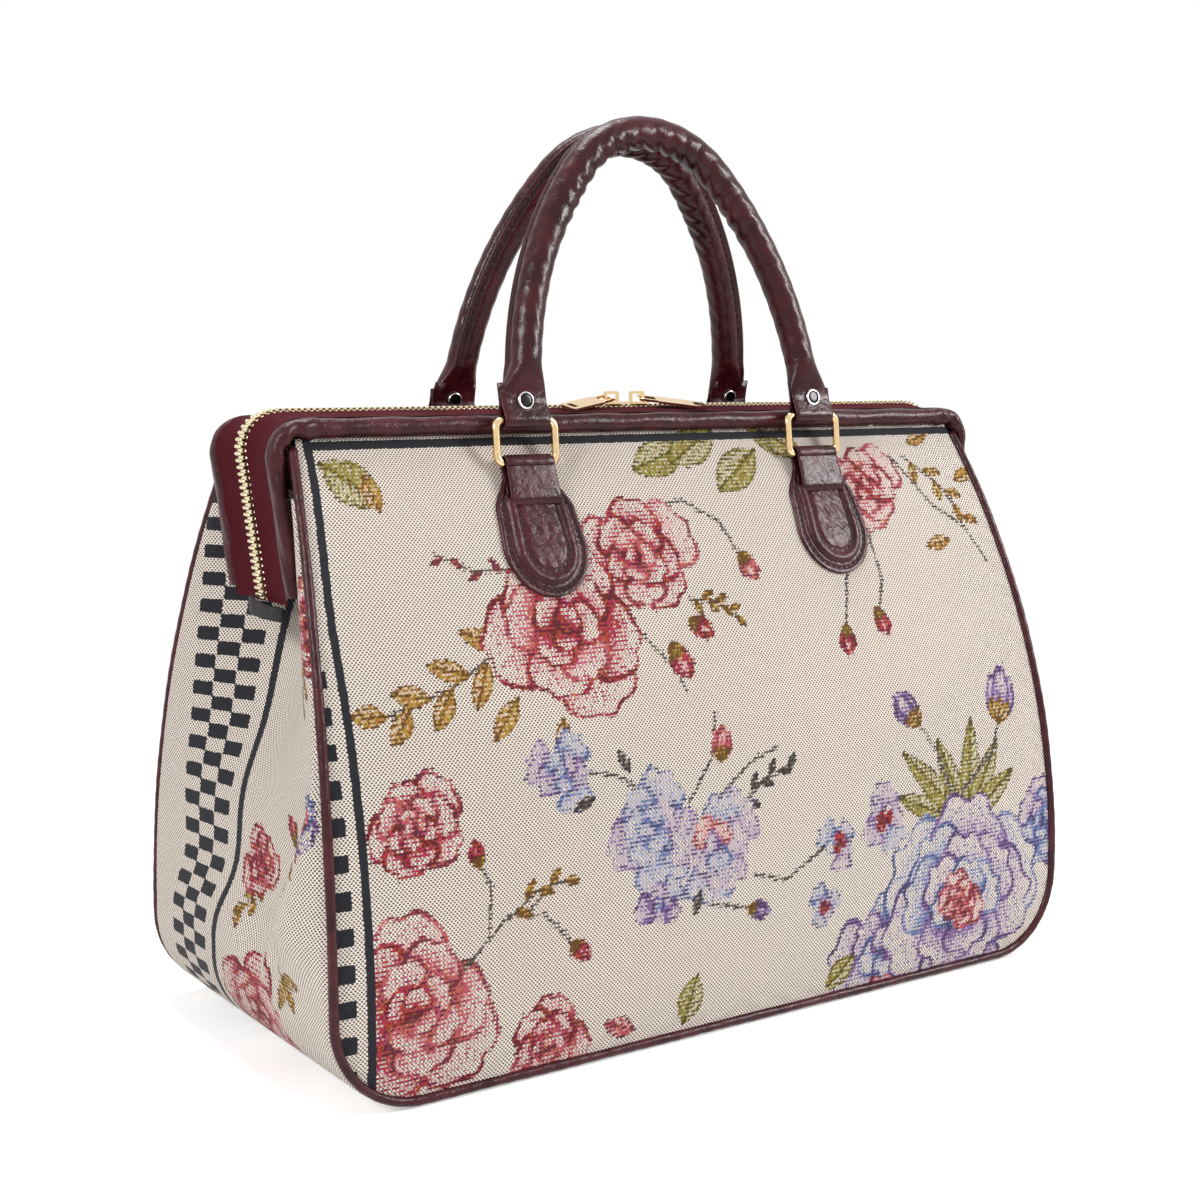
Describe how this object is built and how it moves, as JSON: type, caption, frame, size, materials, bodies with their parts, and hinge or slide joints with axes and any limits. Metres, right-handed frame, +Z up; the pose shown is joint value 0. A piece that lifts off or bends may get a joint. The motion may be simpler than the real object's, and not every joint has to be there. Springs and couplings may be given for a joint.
{
  "type": "carpet bag",
  "caption": "Soft tapestry travel bag with piped panels, folded side gussets, a wire-stayed mouth closed by a two-way zip, and rolled handles on rings.",
  "frame": {"origin": "middle of the base, on the surface it stands on", "axes": "+X along the width to the right, +Y to the back, +Z up; the front faces -Y"},
  "size_m": [0.5, 0.231, 0.5008],
  "materials": {
    "tapestry": "woven",
    "leatherette": "glossy",
    "zip_cloth": "woven",
    "gold_metal": "polished",
    "rivet_metal": "polished",
    "stay_wire": "plain",
    "base_card": "plain",
    "end_cloth": "woven"
  },
  "bodies": {
    "bag": {"front_panel": "tapestry", "back_panel": "tapestry", "gusset": "tapestry", "base_board": "base_card", "front_piping": "leatherette", "back_piping": "leatherette", "front_mouth_sleeve": "leatherette", "back_mouth_sleeve": "leatherette", "front_mouth_stay": "stay_wire", "back_mouth_stay": "stay_wire", "front_zip_tape": "zip_cloth", "back_zip_tape": "zip_cloth", "front_zip_teeth": "gold_metal", "back_zip_teeth": "gold_metal", "left_zip_end": "end_cloth", "right_zip_end": "end_cloth", "front_left_tab": "leatherette", "front_right_tab": "leatherette", "back_left_tab": "leatherette", "back_right_tab": "leatherette"},
    "front_rings": {"front_left_ring": "gold_metal", "front_right_ring": "gold_metal"},
    "front_grip": {"front_handle": "leatherette", "front_left_rivet": "rivet_metal", "front_right_rivet": "rivet_metal"},
    "back_rings": {"back_left_ring": "gold_metal", "back_right_ring": "gold_metal"},
    "back_grip": {"back_handle": "leatherette", "back_left_rivet": "rivet_metal", "back_right_rivet": "rivet_metal"},
    "left_slider": {"left_zip_slider": "gold_metal"},
    "right_slider": {"right_zip_slider": "gold_metal"},
    "left_pull": {"left_zip_pull": "gold_metal"},
    "right_pull": {"right_zip_pull": "gold_metal"}
  },
  "joints": [
    {"name": "front_ring_swing", "type": "hinge", "parent": "bag", "child": "front_rings", "pos_m": [0, -0.04864, 0.31], "axis": [1, 0, 0], "range_deg": [0, 55]},
    {"name": "front_handle_swing", "type": "hinge", "parent": "front_rings", "child": "front_grip", "pos_m": [0, -0.04628, 0.33248], "axis": [1, 0, 0], "range_deg": [0, 95]},
    {"name": "back_ring_swing", "type": "hinge", "parent": "bag", "child": "back_rings", "pos_m": [0, 0.04864, 0.31], "axis": [-1, 0, 0], "range_deg": [0, 55]},
    {"name": "back_handle_swing", "type": "hinge", "parent": "back_rings", "child": "back_grip", "pos_m": [0, 0.04628, 0.33248], "axis": [-1, 0, 0], "range_deg": [0, 95]},
    {"name": "left_slider_slide", "type": "slide", "parent": "bag", "child": "left_slider", "axis": [-1, 0, 0], "range_m": [0, 0.2]},
    {"name": "right_slider_slide", "type": "slide", "parent": "bag", "child": "right_slider", "axis": [1, 0, 0], "range_m": [0, 0.2]},
    {"name": "left_pull_swing", "type": "hinge", "parent": "left_slider", "child": "left_pull", "pos_m": [-0.0109, 0, 0.34305], "axis": [-0.36, 0.8969, 0.2569], "range_deg": [0, 100]},
    {"name": "right_pull_swing", "type": "hinge", "parent": "right_slider", "child": "right_pull", "pos_m": [0.0109, 0, 0.34305], "axis": [-0.36, -0.8969, -0.2569], "range_deg": [0, 100]}
  ]
}
